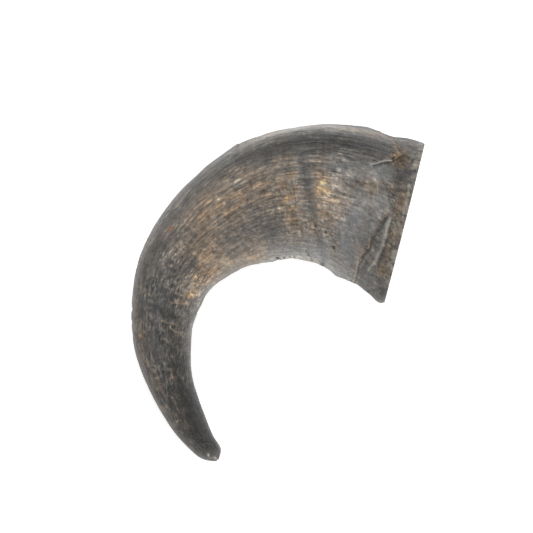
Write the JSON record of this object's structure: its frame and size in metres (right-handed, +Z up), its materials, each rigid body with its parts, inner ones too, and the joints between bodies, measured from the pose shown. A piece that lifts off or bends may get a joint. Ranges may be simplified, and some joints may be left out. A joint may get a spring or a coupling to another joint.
{
  "type": "horn trumpet",
  "caption": "Natural curved bovine horn bored through at its tip, with a sawn open bell, built as nested keratin growth cones.",
  "frame": {"origin": "on the surface the horn lies on, under the middle of its bounding box", "axes": "+X out of the sawn bell, square to the saw cut; +Y towards the crown of the curve, along the longest side; +Z up from the surface the horn lies on"},
  "size_m": [0.1541, 0.2242, 0.0941],
  "materials": {
    "tip_keratin": "charcoal horn, satin, worn smooth",
    "weathered_keratin": "dark brown-grey horn with fine crossing scratches",
    "scratched_keratin": "brown-grey horn with tan scuffed ridges",
    "grey_keratin": "grey horn with long striations along the crown",
    "flaking_keratin": "rough grey-brown horn, flaking near the saw cut",
    "pale_keratin": "pale matt horn, as sawn and scraped"
  },
  "bodies": {
    "root": {"tip_cone": "tip_keratin", "second_growth_cone": "weathered_keratin", "third_growth_cone": "scratched_keratin", "fourth_growth_cone": "grey_keratin", "base_collar": "flaking_keratin", "inner_lining": "pale_keratin"}
  },
  "joints": []
}
